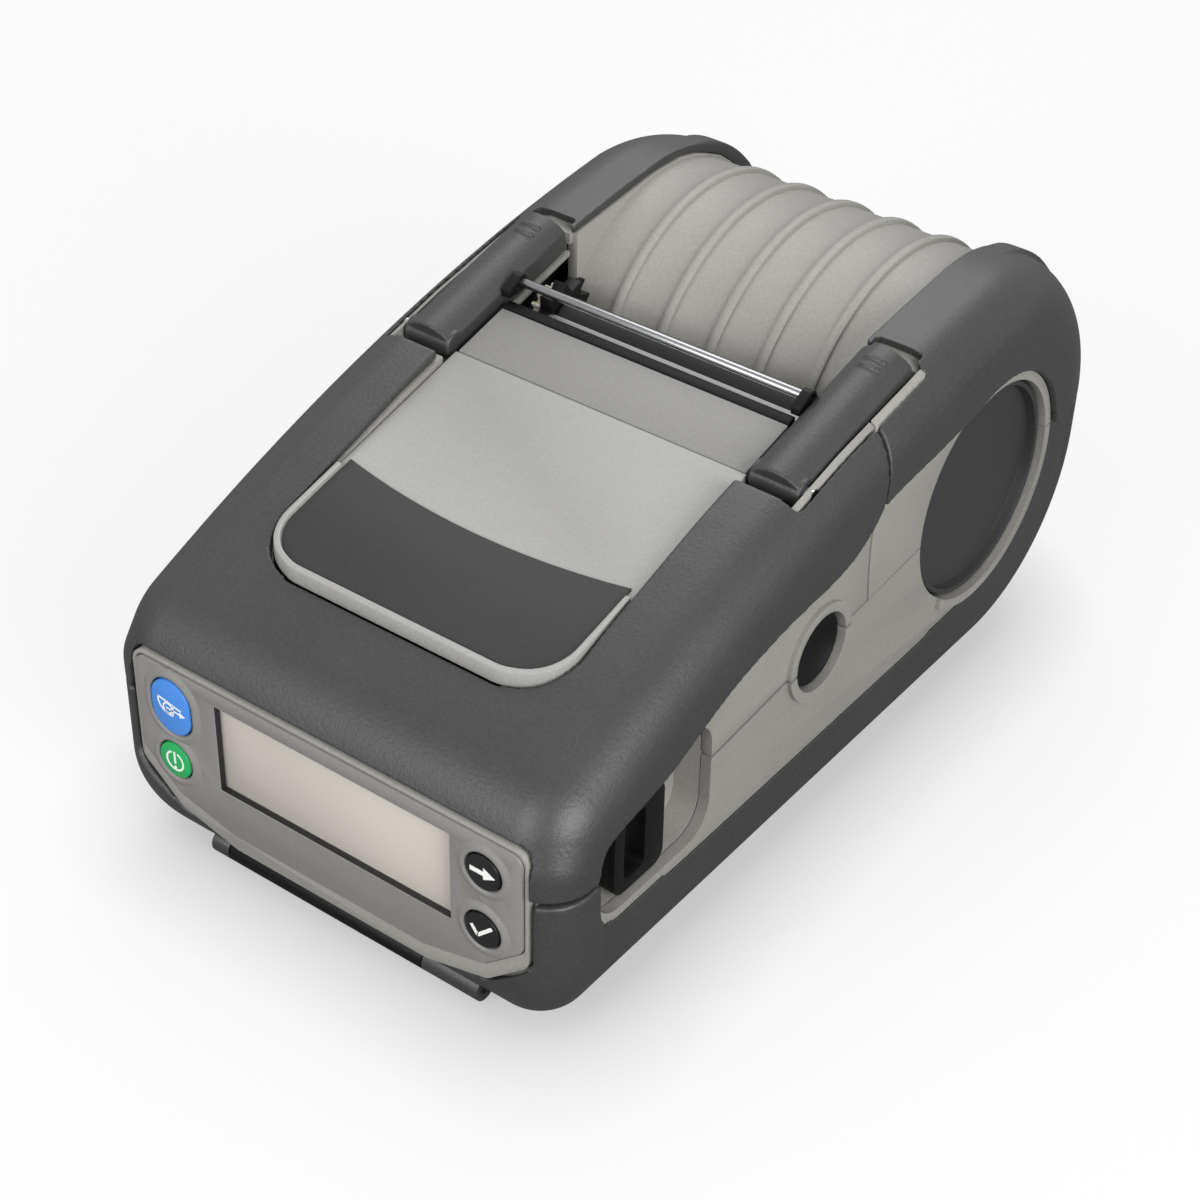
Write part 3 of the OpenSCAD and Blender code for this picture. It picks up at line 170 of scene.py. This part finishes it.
# %% Metals and the display window
def drawn_metal(name, colour, roughness, line=0.3):
    material, tree = new_material(name)
    place = add(tree, "ShaderNodeTexCoord", {}, {}).outputs["Object"]
    long = add(tree, "ShaderNodeMapping", {"Scale": (0.03, 1.0, 1.0)}, {"Vector": place})
    lines = add(tree, "ShaderNodeTexNoise", {"Scale": 1 / (line * MM), "Detail": 2.0},
                {"Vector": long.outputs[0]})
    sheen = add(tree, "ShaderNodeMapRange", {"To Min": roughness * 0.7, "To Max": roughness * 1.3},
                {"Value": lines.outputs["Fac"]})
    bump = add(tree, "ShaderNodeBump", {"Strength": 0.4, "Distance": 0.004 * MM},
               {"Height": lines.outputs["Fac"]})
    skin = add(tree, "ShaderNodeBsdfPrincipled", {"Base Color": paint(colour), "Metallic": 1.0},
               {"Roughness": sheen.outputs[0], "Normal": bump.outputs[0]})
    add(tree, "ShaderNodeOutputMaterial", {}, {"Surface": skin.outputs[0]})
    return material


def display_glass():
    material, tree = new_material("acrylic_display_window")
    place = add(tree, "ShaderNodeTexCoord", {}, {}).outputs["Object"]
    haze = add(tree, "ShaderNodeTexNoise", {"Scale": 1 / (30 * MM), "Detail": 1.0}, {"Vector": place})
    tone = add(tree, "ShaderNodeMix", {"data_type": "RGBA", 6: paint("bbb6ae"), 7: paint("c5c0b8")},
               {0: haze.outputs["Fac"]})
    skin = add(tree, "ShaderNodeBsdfPrincipled", {"Roughness": 0.32, "IOR": 1.49, "Coat Weight": 0.5,
               "Coat Roughness": 0.1}, {"Base Color": tone.outputs[2]})
    add(tree, "ShaderNodeOutputMaterial", {}, {"Surface": skin.outputs[0]})
    return material


finish["steel"] = drawn_metal("steel_drawn", "b9bcbf", 0.32)
finish["rod_chrome"] = drawn_metal("steel_rod_ground", "a2a3a5", 0.27, 0.1)
finish["bracket_aluminium"] = drawn_metal("aluminium_sheet_satin", "a9adb0", 0.38)
finish["pinion_brass"] = drawn_metal("brass_turned", "c9a24a", 0.3)
finish["display_window"] = display_glass()
own_finish = {"head_cover": "head_cover", "side_disc_right": "side_disc", "side_disc_left": "side_disc"}
for node, solid in frame["nodes"].items():
    solid.data.materials.clear()
    solid.data.materials.append(finish[own_finish.get(node, slot_of[node])])
print("solids with a finish:", len(frame["nodes"]))

# %% [markdown]
# A CAD solid arrives as loose triangles with knife-sharp edges. A copy is merged, its flat faces
# are joined again, and every sharp edge gets a small bevel, because a moulded edge always has a
# radius that catches the light. The copy then stands for the solid and rides on the same body.

# %% Copying and rounding hard pieces
def only(piece):
    bpy.ops.object.select_all(action="DESELECT")
    piece.select_set(True)
    bpy.context.view_layer.objects.active = piece


def merged_copy(node):
    piece = frame["nodes"][node].copy()
    piece.data = frame["nodes"][node].data.copy()
    piece.name = piece.data.name = node + "_skin"
    piece.parent = None
    bpy.context.scene.collection.objects.link(piece)
    piece.matrix_world = Matrix.Identity(4)
    only(piece)
    if piece.data.has_custom_normals:
        bpy.ops.mesh.customdata_custom_splitnormals_clear()
    bpy.ops.object.mode_set(mode="EDIT")
    bpy.ops.mesh.select_all(action="SELECT")
    bpy.ops.mesh.remove_doubles(threshold=0.002 * MM)
    bpy.ops.object.mode_set(mode="OBJECT")
    return piece


def settle(piece, node):
    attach(piece, home_of[node])
    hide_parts(node)
    return piece


def apply_modifier(piece, kind, **settings):
    only(piece)
    step = piece.modifiers.new(kind.lower(), kind)
    for key, value in settings.items():
        setattr(step, key, value)
    bpy.ops.object.modifier_apply(modifier=step.name)


def rounded(node, radius, segments=2, limit=35):
    piece = merged_copy(node)
    bpy.ops.object.mode_set(mode="EDIT")
    bpy.ops.mesh.select_all(action="SELECT")
    bpy.ops.mesh.dissolve_limited(angle_limit=math.radians(0.5))
    bpy.ops.object.mode_set(mode="OBJECT")
    apply_modifier(piece, "BEVEL", width=radius * MM, segments=segments, limit_method="ANGLE",
                   angle_limit=math.radians(limit), use_clamp_overlap=True)
    only(piece)
    bpy.ops.object.shade_smooth_by_angle(angle=math.radians(32))
    return settle(piece, node)


edge_radius = {
    "top_plate": 0.3, "head_cover": 0.2, "badge_plate": 0.1, "tear_bar": 0.15, "control_panel": 0.35,
    "panel_frame": 0.3, "lcd_window": 0.1, "peeler_rod": 0.15, "bail_arms": 0.3, "latch_button": 0.5,
    "feed_button": 0.6, "power_button": 0.6, "arrow_button": 0.6, "check_button": 0.6,
    "feed_wheel": 0.15, "platen_brackets": 0.2, "strap_eyelet_right": 0.4, "strap_eyelet_left": 0.4,
    "strap_pocket_right": 0.3, "strap_pocket_left": 0.3, "side_disc_right": 0.3, "side_disc_left": 0.3,
    "battery_pack": 0.6, "battery_latch": 0.3, "media_guide_right": 0.3, "media_guide_left": 0.3,
    "base_case": 0.25, "top_case": 0.25, "cover_shell": 0.25,
}
for node, radius in edge_radius.items():
    piece = rounded(node, radius)
    print(node, len(piece.data.polygons), "faces")

# %% [markdown]
# The walls of the display's opening lie in shade, and that shade is painted: the faces that look
# sideways or up and down inside that opening take the black finish of the display housing.

# %% Painted shade on the walls of the display opening
display_low, display_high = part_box("lcd_window")
panel = bpy.data.objects["control_panel_skin"]
panel.data.materials.append(finish["display_dark"])
WALL_SLANT = 0.35
painted_shade = 0
# Painted shade: the faces of the opening's walls get the black finish in place of the shade they lie in.
for face in panel.data.polygons:
    x, y, z = face.center
    inside = display_low.x - MM < x < display_high.x + MM and display_low.z - MM < z < display_high.z + MM
    if inside and abs(face.normal.y) < WALL_SLANT:
        face.material_index = 1
        painted_shade += 1
print("lined faces:", painted_shade)

# %% [markdown]
# Under the front lip two small lugs hold the rail of the battery pack. They belong to the lower
# case, but they are as dark as the rubber round them, so their faces take the rubber's finish.

# %% Dark lugs under the front lip
lower_case = bpy.data.objects["base_case_skin"]
lower_case.data.materials.append(finish["bumper_rubber"])
rail_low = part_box("battery_pack")[0]
LUG_DEPTH, LUG_TOP, LUG_REACH = 4.2, 5.3, 29
dark = 0
for face in lower_case.data.polygons:
    x, y, z = face.center
    if y < rail_low.y + LUG_DEPTH * MM and z < LUG_TOP * MM and abs(x) < LUG_REACH * MM:
        face.material_index = 1
        dark += 1
print("dark faces:", dark)

# %% [markdown]
# Each key stands in a soft raised collar of the panel. A collar is turned from one small profile:
# up from the key's gap, over a rounded crest, and down into the panel. It is swept round the
# key's outline, which is a circle, or an upright oval for the blue key.

# %% Key collars
keys = {"feed_button": (-31.1, 31.3, 4.1, 1.1), "power_button": (-31.3, 20.4, 3.3, 0),
        "arrow_button": (31.7, 32.3, 3.2, 0), "check_button": (31.4, 20.6, 3.2, 0)}
panel_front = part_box("control_panel")[0].y / MM
collar_profile = [(0.3, 0.5), (0.3, -0.12), (0.42, -0.3), (0.68, -0.4), (1.0, -0.38), (1.4, -0.24),
                  (1.8, -0.06), (2.1, 0.02), (2.1, 0.5)]


def new_piece(name, points, faces, finishes):
    mesh = bpy.data.meshes.new(name)
    mesh.from_pydata([Vector(p) * MM for p in points], [], faces)
    piece = bpy.data.objects.new(name, mesh)
    bpy.context.scene.collection.objects.link(piece)
    for material in finishes:
        mesh.materials.append(material)
    only(piece)
    bpy.ops.object.mode_set(mode="EDIT")
    bpy.ops.mesh.select_all(action="SELECT")
    bpy.ops.mesh.normals_make_consistent(inside=False)
    bpy.ops.object.mode_set(mode="OBJECT")
    return piece


def key_collar(node, steps=96):
    x, z, radius, oval = keys[node]
    points, faces = [], []
    for k in range(steps):
        angle = 2 * math.pi * k / steps
        stretch = oval * math.copysign(1, math.sin(angle)) if abs(math.sin(angle)) > 1e-6 else 0
        for out, depth in collar_profile:
            reach = radius + out
            points.append((x + reach * math.cos(angle), panel_front + depth,
                           z + stretch + reach * math.sin(angle)))
    rows = len(collar_profile)
    for k in range(steps):
        for r in range(rows):
            a, b = k * rows + r, k * rows + (r + 1) % rows
            c, d = (k + 1) % steps * rows + (r + 1) % rows, (k + 1) % steps * rows + r
            faces.append((a, b, c, d))
    piece = new_piece(node.replace("button", "collar"), points, faces, [finish["panel_plastic"]])
    only(piece)
    bpy.ops.object.shade_smooth_by_angle(angle=math.radians(50))
    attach(piece, home_of["control_panel"])
    return piece


for node in keys:
    collar = key_collar(node)
    print(collar.name, len(collar.data.polygons), "faces")

# %% [markdown]
# The signs on the keys are plain ones that many devices share. They are printed in white, so
# each is a film a few hundredths of a millimetre thick. A sign is drawn as strokes between
# points, and every stroke gets the width that the printer's screen gives it.

# %% Printed signs
def ring_points(x, z, radius, start, end, count=24):
    angles = [math.radians(start + (end - start) * i / count) for i in range(count + 1)]
    return [(x + radius * math.cos(a), z + radius * math.sin(a)) for a in angles]


def stroke(points, faces, line, width, front, back):
    for i in range(len(line) - 1):
        a, b = Vector(line[i]), Vector(line[i + 1])
        along = (b - a).normalized() * width * 0.5
        side = Vector((-along.y, along.x))
        if i == 0:
            a = a - along * 0.3
        if i == len(line) - 2:
            b = b + along * 0.3
        first = len(points)
        for y in (front, back):
            for corner in (a + side, b + side, b - side, a - side):
                points.append((corner.x, y, corner.y))
        f = first
        faces += [(f, f + 1, f + 2, f + 3), (f + 7, f + 6, f + 5, f + 4), (f, f + 4, f + 5, f + 1),
                  (f + 1, f + 5, f + 6, f + 2), (f + 2, f + 6, f + 7, f + 3), (f + 3, f + 7, f + 4, f)]


def patch(points, faces, outline, front, back):
    first, n = len(points), len(outline)
    for y in (front, back):
        points += [(x, y, z) for x, z in outline]
    faces.append(tuple(range(first, first + n)))
    faces.append(tuple(reversed(range(first + n, first + 2 * n))))
    faces += [(first + i, first + n + i, first + n + (i + 1) % n, first + (i + 1) % n) for i in range(n)]


signs = {
    "feed_button": {"lines": [
        ([(-2.6, 1.3), (2.2, 0.35)], 0.3), ([(-2.6, 1.3)] + ring_points(-0.3, 0.9, 2.3, 170, 262, 10), 0.3),
        ([(-0.6, -1.4), (0.4, -1.5), (0.6, 0.6)], 0.3), (ring_points(-0.6, -0.3, 0.95, 0, 360), 0.26),
        ([(-0.9, -0.3), (2.6, -0.5)], 0.28)], "patches": [[(1.9, 0.05), (3.1, -0.55), (1.9, -1.05)]]},
    "power_button": {"lines": [(ring_points(0, -0.1, 1.75, 112, 428), 0.36), ([(0, 1.7), (0, -0.5)], 0.4),
                               ([(0, -1.15), (0, -1.55)], 0.44)], "patches": []},
    "arrow_button": {"lines": [([(-2.2, 0), (0.5, 0)], 0.85)],
                     "patches": [[(0.2, 1.15), (2.4, 0), (0.2, -1.15)]]},
    "check_button": {"lines": [([(-1.9, 0.35), (-0.75, -1.25), (1.9, 1.35)], 0.62)], "patches": []},
}


def key_sign(node):
    x, z = keys[node][:2]
    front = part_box(node)[0].y / MM - 0.04
    points, faces = [], []
    for line, width in signs[node]["lines"]:
        stroke(points, faces, [(x + u, z + v) for u, v in line], width, front, front + 0.3)
    for outline in signs[node]["patches"]:
        patch(points, faces, [(x + u, z + v) for u, v in outline], front - 0.005, front + 0.3)
    piece = new_piece(node.replace("button", "sign"), points, faces, [finish["key_ink"]])
    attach(piece, home_of[node])
    return piece


for node in signs:
    sign = key_sign(node)
    print(sign.name, len(sign.data.polygons), "faces")

# %% [markdown]
# The whole case is one crowned form. Its side view is a chain of four arcs, nose, hood, hump and
# heel, and a ball rolls round inside them to give the edge along each side. A toolmaker would cut
# this form as one smooth master, so here is that master: for each direction, the furthest point
# that any of the balls reaches. Its measures are in millimetres, as in the part's own drawing.
# The rubber skins are pressed against it further on.

# %% Master of the outer form
HALF_WIDTH = 45.7


def arc_balls(centre, radius, start, end, edge_start, edge_end, count):
    balls = []
    for i in range(count + 1):
        t = i / count
        angle, edge = math.radians(start + (end - start) * t), edge_start + (edge_end - edge_start) * t
        balls.append((HALF_WIDTH - edge, centre[0] + (radius - edge) * math.cos(angle),
                      centre[1] + (radius - edge) * math.sin(angle), edge))
    return balls


nose = arc_balls((-66, 34), 15, 180, 113.18, 10, 10, 16)
hood = arc_balls((69.796, -283.15), 360, 113.18, 94.142, 10, 10, 24)
hump = arc_balls((46.3, 41.3), 34.7, 94.142, 0, 10, 17.5, 40)
heel = arc_balls((43, 38), 38, 0, -90, 17.5, 16, 30)
FRONT_Y, FRONT_EDGE, FOOT_EDGE, RAKE = -73, 8, 16, 4
foot = []
for a in range(0, 91, 5):
    inward, down = 1 - math.cos(math.radians(a)), math.sin(math.radians(a))
    foot.append((HALF_WIDTH - FOOT_EDGE + FRONT_EDGE * (1 - inward), FRONT_Y + RAKE * inward,
                 FOOT_EDGE - FRONT_EDGE * down, FRONT_EDGE))
balls = numpy.array(nose + hood + hump + heel + foot + [(HALF_WIDTH - FRONT_EDGE, FRONT_Y, 34, FRONT_EDGE)])
across_steps, up_steps = 256, 128
lift_of = numpy.linspace(-math.pi / 2, math.pi / 2, up_steps + 1)[:, None]
turn_of = numpy.linspace(0, 2 * math.pi, across_steps, endpoint=False)[None, :]
ways = numpy.stack([numpy.cos(lift_of) * numpy.cos(turn_of), numpy.cos(lift_of) * numpy.sin(turn_of),
                    numpy.sin(lift_of) + 0 * turn_of], axis=-1).reshape(-1, 3)
one_side = ways.copy()
one_side[:, 0] = abs(one_side[:, 0])
furthest = (one_side @ balls[:, :3].T + balls[:, 3]).argmax(axis=1)
master_points = balls[furthest, :3] * numpy.where(ways[:, :1] < 0, [[-1, 1, 1]], [[1, 1, 1]]) \
    + ways * balls[furthest, 3:]
master_faces = [(r * across_steps + c, r * across_steps + (c + 1) % across_steps,
                 (r + 1) * across_steps + (c + 1) % across_steps, (r + 1) * across_steps + c)
                for r in range(up_steps) for c in range(across_steps)]
master = BVHTree.FromPolygons((master_points * MM).tolist(), master_faces)
print("balls:", len(balls), "master points:", len(master_points),
      "size:", (master_points.max(axis=0) - master_points.min(axis=0)).round(2))

# %% [markdown]
# The rubber is moulded over the case, so its edges are full and soft. The merged copy is remeshed
# into small even cells and relaxed, which rounds every edge. On the bumpers, every point that lies
# close to the master is then pressed onto it, so that the outside is as smooth as the real moulding,
# and the points of the rounded edges, which lie deeper, keep their place.

# %% Soft rubber skins
def pressed_to_master(piece, full=0.26, none=0.62):
    for point in piece.data.vertices:
        near, way, index, gap = master.find_nearest(point.co, none * MM)
        if near is not None:
            pull = min(1, (none - gap / MM) / (none - full))
            point.co = point.co.lerp(near, pull * pull * (3 - 2 * pull))


def softened(node, cell, passes):
    piece = merged_copy(node)
    apply_modifier(piece, "REMESH", mode="VOXEL", voxel_size=cell * MM)
    apply_modifier(piece, "SMOOTH", factor=0.5, iterations=passes)
    if "bumper" in node:
        pressed_to_master(piece)
        apply_modifier(piece, "SMOOTH", factor=0.5, iterations=1)
    only(piece)
    bpy.ops.object.shade_smooth()
    return settle(piece, node)


rubber = {
    "front_bumper": (0.46, 6), "base_bumper": (0.7, 4), "cover_bumper_right": (0.32, 8),
    "cover_bumper_left": (0.32, 8), "lever_right": (0.22, 5), "lever_left": (0.22, 5),
}
for node, (cell, passes) in rubber.items():
    piece = softened(node, cell, passes)
    print(node, len(piece.data.polygons), "cells")

# %% [markdown]
# The table is a plain pale sheet without an end, and the light is that of a photographer's tent:
# an even glow all round, and three large soft panels, behind and above, to the right, and in front.
# The camera sees the sheet nearly white, because it glows for the camera alone. The glow is weaker
# close to the object, which paints a soft contact shadow where the object touches the sheet.

# %% Table and light
bpy.ops.object.select_all(action="DESELECT")
bpy.ops.mesh.primitive_plane_add(size=6, location=(0, 0, 0))
table = bpy.context.active_object
table.name = "table"
table_material, tree = new_material("paper_sweep_white")
paper = add(tree, "ShaderNodeBsdfDiffuse", {"Color": paint("7b7b7b")}, {})
# Painted contact shadow: ambient occlusion lowers the camera-only glow close to the object.
painted_contact_shadow = add(tree, "ShaderNodeAmbientOcclusion", {"Distance": 0.02}, {})
glow_level = add(tree, "ShaderNodeMapRange", {"From Min": 0.4, "To Min": 0.45, "To Max": 0.71},
                 {"Value": painted_contact_shadow.outputs["AO"]})
glow = add(tree, "ShaderNodeEmission", {"Color": (1, 1, 1, 1)}, {"Strength": glow_level.outputs[0]})
both = add(tree, "ShaderNodeAddShader", {}, {0: paper.outputs[0], 1: glow.outputs[0]})
seen = add(tree, "ShaderNodeLightPath", {}, {})
shown = add(tree, "ShaderNodeMixShader", {},
            {0: seen.outputs["Is Camera Ray"], 1: paper.outputs[0], 2: both.outputs[0]})
add(tree, "ShaderNodeOutputMaterial", {}, {"Surface": shown.outputs[0]})
table.data.materials.append(table_material)

world = bpy.data.worlds.new("studio")
bpy.context.scene.world = world
world.use_nodes = True
world.node_tree.nodes["Background"].inputs["Color"].default_value = (1, 1, 1, 1)
world.node_tree.nodes["Background"].inputs["Strength"].default_value = 0.63


def soft_panel(name, place, aim, size, watts):
    lamp = bpy.data.objects.new(name, bpy.data.lights.new(name, "AREA"))
    lamp.data.size = size
    lamp.data.energy = watts
    lamp.location = place
    lamp.rotation_euler = (Vector(aim) - Vector(place)).to_track_quat("-Z", "Y").to_euler()
    bpy.context.scene.collection.objects.link(lamp)


soft_panel("panel_behind", (-0.35, 0.6, 0.9), (0, 0, 0.03), 0.7, 4.4)
soft_panel("panel_right", (0.9, -0.35, 0.45), (0, 0, 0.03), 0.6, 9.5)
soft_panel("panel_front", (-0.15, -1.0, 0.5), (0, 0, 0.03), 0.7, 6.5)
bpy.context.scene.view_settings.view_transform = "Standard"
